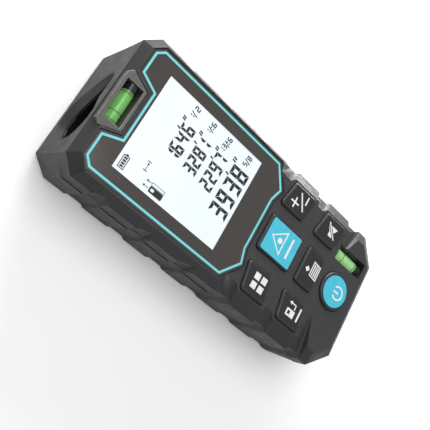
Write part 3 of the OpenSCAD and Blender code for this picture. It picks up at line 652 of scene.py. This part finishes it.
def figure(digit, x0, x1, y0, y1, t, gap=0.07):
    """Segment outlines of one figure in a box, with strokes t thick."""
    w, h = x1 - x0, y1 - y0
    half = h / 2
    shapes = {
        "a": [(gap, h), (t + gap, h - t), (w - t - gap, h - t), (w - gap, h)],
        "f": [(0, h - gap), (0, half + gap), (t / 2, half + t / 2 + gap),
              (t, half + t / 2 + gap), (t, h - t - gap)],
        "g": [(gap, half), (t / 2 + gap, half - t / 2), (w - t / 2 - gap, half - t / 2),
              (w - gap, half), (w - t / 2 - gap, half + t / 2), (t / 2 + gap, half + t / 2)],
    }
    shapes["d"] = [(x, h - y) for x, y in reversed(shapes["a"])]
    shapes["e"] = [(x, h - y) for x, y in reversed(shapes["f"])]
    shapes["b"] = [(w - x, y) for x, y in reversed(shapes["f"])]
    shapes["c"] = [(w - x, h - y) for x, y in shapes["f"]]
    return [[(x0 + x, y0 + y) for x, y in shapes[s]] for s in LIT[digit]]


def one(x, y0, y1, t):
    """The figure 1 alone: its two right-hand segments."""
    return figure("1", x - 4 * t, x, y0, y1, t)


def row(figures, ones, y0, y1, t):
    """Figures between heights y0 and y1, then the ones, given by their right-hand edges."""
    made = []
    for digit, x0, x1 in figures:
        made += figure(digit, x0, x1, y0, y1, t)
    for x in ones:
        made += one(x, y0, y1, t)
    return made


def ticks(foot_x, inch_x, y, size=1.0):
    """The foot and inch ticks after the figures."""
    return [
        bar((x, y), (x + 0.28 * size, y + 1.2 * size), 0.46 * size)
        for x in (foot_x, *inch_x)
    ]


# Small figures of the fractions: height, stroke and the gap between segments
SMALL_TALL, SMALL_T, SMALL_GAP = 1.9, 0.36, 0.04


def small(figures, y):
    """Small figures standing on height y."""
    made = []
    for digit, x0, x1 in figures:
        if digit == "1":
            made += one(x1, y, y + SMALL_TALL, SMALL_T)
        else:
            made += figure(digit, x0, x1, y, y + SMALL_TALL, SMALL_T, SMALL_GAP)
    return made


def fraction(left, right, y):
    """A small fraction: the figures left of the stroke, the stroke, and those right of it."""
    stroke_x = left[-1][2] + 0.15
    stroke = bar((stroke_x, y - 0.1), (stroke_x + 0.75, y + 2.3), 0.3)
    return small(left, y + 0.5) + [stroke] + small(right, y)


# Stroke thickness of the small readings and of the main one
READING_T, MAIN_T = 0.8, 1.05
# The three small readings: figures, ones, foot and top, height of the ticks, and the fraction
READINGS = [
    ([("6", -0.55, 1.85), ("4", 2.6, 5.1), ("6", 6.0, 8.45)], [-0.85], (28.3, 33.2), 33.0,
     ([("1", 11.3, 11.8)], [("2", 13.5, 14.9)], 30.5)),
    ([("3", -2.8, -0.6), ("2", -0.1, 2.3), ("8", 2.9, 5.3)], [8.4], (21.5, 26.3), 26.2,
     ([("1", 11.3, 11.8)], [("1", 12.6, 13.1), ("6", 13.5, 14.8)], 23.6)),
    ([("2", -3.15, -0.85), ("2", -0.3, 2.05), ("9", 2.8, 5.3), ("7", 6.2, 8.5)], [],
     (14.5, 19.4), 19.3,
     ([("1", 10.2, 10.6), ("3", 10.9, 12.0)], [("1", 12.8, 13.2), ("6", 13.6, 14.8)], 16.7)),
]

segments = []
for figures, ones, (foot, top), ticks_y, parts in READINGS:
    segments += row(figures, ones, foot, top, READING_T)
    segments += ticks(5.75, (8.8, 9.5), ticks_y)
    segments += fraction(*parts)
segments += row([("3", -7.2, -3.9), ("9", -2.9, 0.4), ("3", 1.6, 4.9), ("8", 6.1, 9.5)], [],
                5.7, 12.5, MAIN_T)
segments += ticks(5.4, (10.0, 10.9), 12.3, 1.1)
segments += fraction([("5", 11.2, 12.4)], [("8", 13.6, 14.8)], 7.8)

# Status symbols: the battery, the reference arrow between its stops, and two devices with arrows
battery = [
    (rect(-15.0, -10.9, 40.5, 42.65), rect(-14.75, -11.15, 40.75, 42.4)),
    rect(-10.86, -10.5, 41.15, 42.0),
]
battery += [rect(x, x + 0.6, 41.0, 42.15) for x in (-14.5, -13.65, -12.8, -11.95)]
arrow = [
    rect(-10.9, -10.65, 34.5, 35.9),
    rect(-8.05, -7.8, 34.5, 35.9),
    bar((-10.6, 35.2), (-8.9, 35.2), 0.2),
    [(-8.9, 34.85), (-8.15, 35.2), (-8.9, 35.55)],
]
device = [
    (rounded(rect(-14.95, -13.0, 26.5, 31.3), 0.3, 4),
     rounded(rect(-14.4, -13.5, 29.6, 30.8), 0.3, 4)),
    (rect(-12.9, -11.9, 26.5, 31.3), rect(-12.75, -12.05, 26.65, 31.15)),
]
for x, tip in ((-14.1, 33.0), (-12.4, 32.6)):
    device += [bar((x, 31.5), (x, tip), 0.2),
               [(x - 0.4, tip + 0.02), (x + 0.4, tip + 0.02), (x, tip + 0.75)]]
plates("display_segments", segments + battery + arrow + device, FACE_Z + 0.005,
       FACE_Z + 0.05, "root", INK)

# ------------------------------------------------------------------ keys

KEY_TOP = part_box("key_memory")[1].z / MM
# The caps are sunk, so that the pads and the marks printed on them end at the CAD height
CAP_TOP = KEY_TOP - 0.07
PAD_TOP = KEY_TOP - 0.03


def sink_top(bm):
    """Lowers the flat top of a key to CAP_TOP."""
    for v in bm.verts:
        if v.co.z > (KEY_TOP - 0.05) * MM:
            v.co.z = CAP_TOP * MM


def cap_edge(edge):
    """The edges round the top of a key."""
    return middle(edge).z > KEY_TOP - 0.9


for key in KEYS:
    soften("key_" + key, 0.12, cap_edge, angle=20, shape=sink_top)


def key_marks(key, name, outlines, material=WHITE, z0=CAP_TOP, z1=PAD_TOP):
    """Prints outlines on a key, given from the middle of that key."""
    node = "key_" + key
    centre = sum(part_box(node), Vector()) / 2 / MM

    def placed(outline):
        return [(centre.x + x, centre.y + y) for x, y in outline]

    on_key = [tuple(map(placed, o)) if isinstance(o, tuple) else placed(o) for o in outlines]
    return plates(name, on_key, z0, z1, BODY_OF[node], material)


key_marks("measure", "pad_measure", [rounded(rect(-5.55, 5.55, -6.75, 6.4), 0.6)], BLUE)
key_marks("power", "pad_power", [disc(0, 0, 5.3, 64)], BLUE)

triangle = [(-4.0, -1.15), (4.5, -1.15), (0.25, 4.55)]
key_marks("measure", "mark_measure", [
    (triangle, grown(triangle, -0.42)),
    disc(0.25, 0.75, 0.95),
    rounded(rect(-3.3, 3.8, -4.25, -3.45), 0.35),
], WHITE, PAD_TOP, KEY_TOP)

key_marks("power", "mark_power", [
    arc_band(0, -1.2, 2.5, 1.92, 128, 412),
    rect(-0.28, 0.28, -1.6, 0.9),
], WHITE, PAD_TOP, KEY_TOP)

key_marks("function", "mark_function", [
    rect(x, x + 2.2, y, y + 2.2) for x in (-2.4, 0.6) for y in (-3.2, -0.2)
])

# The plus sign: how far it reaches from its middle, and half the width of its bars
REACH, ARM = 1.8, 0.27
quarter = [(-ARM, -ARM), (-ARM, -REACH), (ARM, -REACH)]
plus = []
for turn in range(4):
    plus += quarter
    quarter = [(-y, x) for x, y in quarter]
key_marks("plus_minus", "mark_plus_minus", [
    [(x - 1.3, y + 1.6) for x, y in plus],
    bar((-2.2, -2.6), (2.9, 0.8), 0.55),
    rect(0.3, 3.3, -2.8, -2.25),
])


def cut_off(outline, point, normal):
    """The part of a convex outline on the side of a line that its normal points to."""
    made = []
    for a, b in zip(outline[-1:] + outline[:-1], outline):
        ra, rb = ((Vector(p) - point).dot(normal) for p in (a, b))
        if (ra > 0) != (rb > 0):
            made.append(tuple(Vector(a).lerp(Vector(b), ra / (ra - rb))))
        if rb > 0:
            made.append(b)
    return made


# A speaker, cut through by a slash with a clear band round it
slash = ((-1.9, -2.5), (2.5, 1.9))
across = unit_normal(*slash)
speaker = [
    rect(-1.8, -0.3, -1.2, 0.6),
    [(-0.2, -1.2), (1.9, -2.6), (1.9, 2.0), (-0.2, 0.6)],
]
halves = [cut_off(part, Vector(slash[0]) + across * side * 0.55, across * side)
          for part in speaker for side in (-1, 1)]
key_marks("sound", "mark_sound", [bar(*slash, 0.45)] + [h for h in halves if len(h) > 2])

sheet = [(-2.1, -3.55), (2.6, -3.45), (3.0, -0.35), (-1.7, -0.45)]
rules = [bar((-1.6 + k * 0.13, -2.8 + k * 0.8), (2.3 + k * 0.13, -2.75 + k * 0.8), 0.46)
         for k in range(3)]
key_marks("memory", "mark_memory", [
    [(-1.4, 1.25), (-0.4, 0.25), (0.6, 1.25), (-0.4, 2.25)],
    (grown(sheet, 0.2), grown(sheet, -0.2)),
    *rules,
])

key_marks("reference", "mark_reference", [
    (rect(-2.0, 0.4, -1.7, 1.9), rect(-1.4, -0.2, 0.2, 1.3)),
    bar((0.8, -1.0), (2.5, -1.0), 0.42),
    bar((2.4, -0.8), (2.4, 0.9), 0.42),
    [(1.7, 0.9), (3.1, 0.9), (2.4, 2.0)],
    rounded(rect(-2.0, 2.7, -3.8, -3.1), 0.3),
])

# ------------------------------------------------------------------ levels


def gauge_lines(name, node, axis, reach, half=0.1, rise=0.05, n=40):
    """Two lines round a level tube that lies along an axis, at reach each way from its middle."""
    lo, hi = (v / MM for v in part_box(node))
    centre = (lo + hi) / 2
    tube_r = min(hi.z - lo.z, hi[1 - axis] - lo[1 - axis]) / 2
    profile = [(-half, 0.0), (-half, rise), (half, rise), (half, 0.0)]
    bm = bmesh.new()
    for offset in (-reach, reach):
        rings = []
        for along, out in profile:
            points = []
            for x, y in disc(0, 0, tube_r + out, n):
                p = centre.copy()
                p[axis] += offset + along
                p[1 - axis] += x
                p.z += y
                points.append(bm.verts.new(p * MM))
            rings.append(points)
        join(bm, rings + rings[:1])
    add_piece(name, bm, "root", INK, True)


gauge_lines("top_gauge_lines", "top_vial", 0, 3.2)
gauge_lines("side_gauge_lines", "side_vial", 1, 3.0)

# ------------------------------------------------------------------ back


def inset(box, by):
    """The rectangle of a box, in mm, moved inwards."""
    lo, hi = box
    return rect(lo.x + by, hi.x - by, lo.y + by, hi.y - by)


def label():
    """The plate in its recess, with a thin frame and rows of bars in place of text."""
    box = [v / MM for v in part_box("rear_label")]
    lo, hi = box
    # The plate starts this far above the face that the print lies on
    film = 0.04
    plate = plates("label_plate", [rounded(inset(box, 0), 1.4, 8)], lo.z + film, hi.z, "root",
                   MATERIALS["label"])
    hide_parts("rear_label")
    printed_parts = [(rounded(inset(box, 0.8), 0.8, 8), rounded(inset(box, 1.1), 0.5, 8))]
    title_rows = ((13.5, 37.6), (11.2, 35.9), (12.4, 34.2), (9.0, 32.5))
    small_rows = ((22, 27.6), (19.5, 26.0), (21, 24.4), (12, 22.8), (17, 21.2))
    for rows, start, thick in ((title_rows, 11.5, 0.5), (small_rows, 2.5, 0.45)):
        x = lo.x + start
        printed_parts += [rect(x, x + length, y, y + thick) for length, y in rows]
    plates("label_print", printed_parts, lo.z, lo.z + film + 0.01, "root", INK)


def tripod_thread(pitch=1.27, bore=3.175, turns=5, steps=32, first_z=0.9):
    """The thread in the tripod socket: a helical ridge that fades in and out."""
    lo, hi = (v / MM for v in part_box("tripod_insert"))
    centre = (lo + hi) / 2
    depth, sunk, root_half, crest_half, fading = 0.45, 0.12, 0.5, 0.08, 8
    bm = bmesh.new()
    last = steps * turns
    rings = []
    for i in range(last + 1):
        t = 2 * math.pi * i / steps
        crest = bore - depth * min(1.0, i / fading, (last - i) / fading)
        root = bore + sunk
        profile = ((root, -root_half), (crest, -crest_half), (crest, crest_half),
                   (root, root_half))
        rings.append([bm.verts.new(Vector((centre.x + r * math.cos(t), centre.y + r * math.sin(t),
                                           first_z + pitch * i / steps + dz)) * MM)
                      for r, dz in profile])
    join(bm, rings)
    bm.faces.new(rings[0])
    bm.faces.new(list(reversed(rings[-1])))
    add_piece("tripod_thread", bm, "root", MATERIALS["brass"], True)


label()
tripod_thread()

# ------------------------------------------------------------------ stage, lights, camera


def floor(size=1.5, drop=0.0002):
    """A pale floor just under the object."""
    bm = bmesh.new()
    bmesh.ops.create_grid(bm, x_segments=40, y_segments=40, size=size)
    mesh = bpy.data.meshes.new("floor")
    bm.to_mesh(mesh)
    bm.free()
    obj = bpy.data.objects.new("floor", mesh)
    bpy.context.scene.collection.objects.link(obj)
    s = Shader("floor_paper")
    s.set(Base_Color=s.blend(s.noise(40, 2), (0.93, 0.93, 0.93), (0.96, 0.96, 0.96)),
          Roughness=0.9, Emission_Color=(1, 1, 1),
          Emission_Strength=s.maths("MULTIPLY", s.node("LightPath").outputs["Is Camera Ray"], 0.2))
    mesh.materials.append(s.material)
    obj.location.z = -drop


def sky(shaded_side=(-0.30, 0.90, 0.31), bright=0.46, dim=0.10):
    """A soft light from all round, dimmer towards one side."""
    world = bpy.data.worlds.new("studio")
    bpy.context.scene.world = world
    world.use_nodes = True
    tree = world.node_tree
    light = tree.nodes["Background"]
    light.inputs["Color"].default_value = (0.96, 0.98, 1.0, 1)
    facing = tree.nodes.new("ShaderNodeVectorMath")
    facing.operation = "DOT_PRODUCT"
    facing.inputs[1].default_value = shaded_side
    tree.links.new(tree.nodes.new("ShaderNodeTexCoord").outputs["Generated"], facing.inputs[0])
    strength = tree.nodes.new("ShaderNodeMapRange")
    limits = {"From Min": -0.2, "From Max": 0.6, "To Min": bright, "To Max": dim}
    for name, number in limits.items():
        strength.inputs[name].default_value = number
    tree.links.new(facing.outputs["Value"], strength.inputs["Value"])
    tree.links.new(strength.outputs["Result"], light.inputs["Strength"])
    bpy.context.scene.view_settings.view_transform = "Standard"


def panel_light(name, at, target, size, power):
    """A rectangular lamp that the camera doesn't see, in metres and watts."""
    lamp = bpy.data.lights.new(name, "AREA")
    lamp.shape = "RECTANGLE"
    lamp.size, lamp.size_y = size
    lamp.energy = power
    obj = bpy.data.objects.new(name, lamp)
    obj.location = at
    obj.rotation_euler = (Vector(target) - Vector(at)).to_track_quat("-Z", "Y").to_euler()
    obj.visible_camera = False
    bpy.context.scene.collection.objects.link(obj)


def photo_camera(aim=(-1.818, 2.568, 13.25), distance=215.777, azimuth=217.7936,
                 elevation=54.9379, roll=87.6114):
    """The camera at the photograph's angle, in mm and degrees.

    The azimuth is 0 when it looks along +Y and 90 along -X. The roll tips it about its own axis.
    """
    turn, lift, tip = (math.radians(angle) for angle in (azimuth, elevation, roll))
    back = Vector((math.sin(turn) * math.cos(lift), -math.cos(turn) * math.cos(lift),
                   math.sin(lift)))
    facing = (-back).to_track_quat("-Z", "Y") @ Quaternion((0, 0, 1), tip)
    lens = bpy.data.cameras.new("camera")
    lens.sensor_width = 36
    lens.lens = 57.99
    lens.clip_start = 0.005
    camera = bpy.data.objects.new("camera", lens)
    place = Matrix.Translation((Vector(aim) + back * distance) * MM)
    camera.matrix_world = place @ facing.to_matrix().to_4x4()
    bpy.context.scene.collection.objects.link(camera)
    bpy.context.scene.camera = camera


floor()
sky()
panel_light("light_right", (0.50, 0.14, 0.16), (0, 0, 0.01), (0.35, 0.22), 2.6)
panel_light("light_low", (0.105, -0.026, 0.013), (0.02, -0.022, 0.026), (0.09, 0.018), 0.08)
panel_light("light_top", (0.05, 0.15, 0.60), (0, 0, 0), (0.5, 0.5), 2.4)
photo_camera()

bpy.context.view_layer.update()
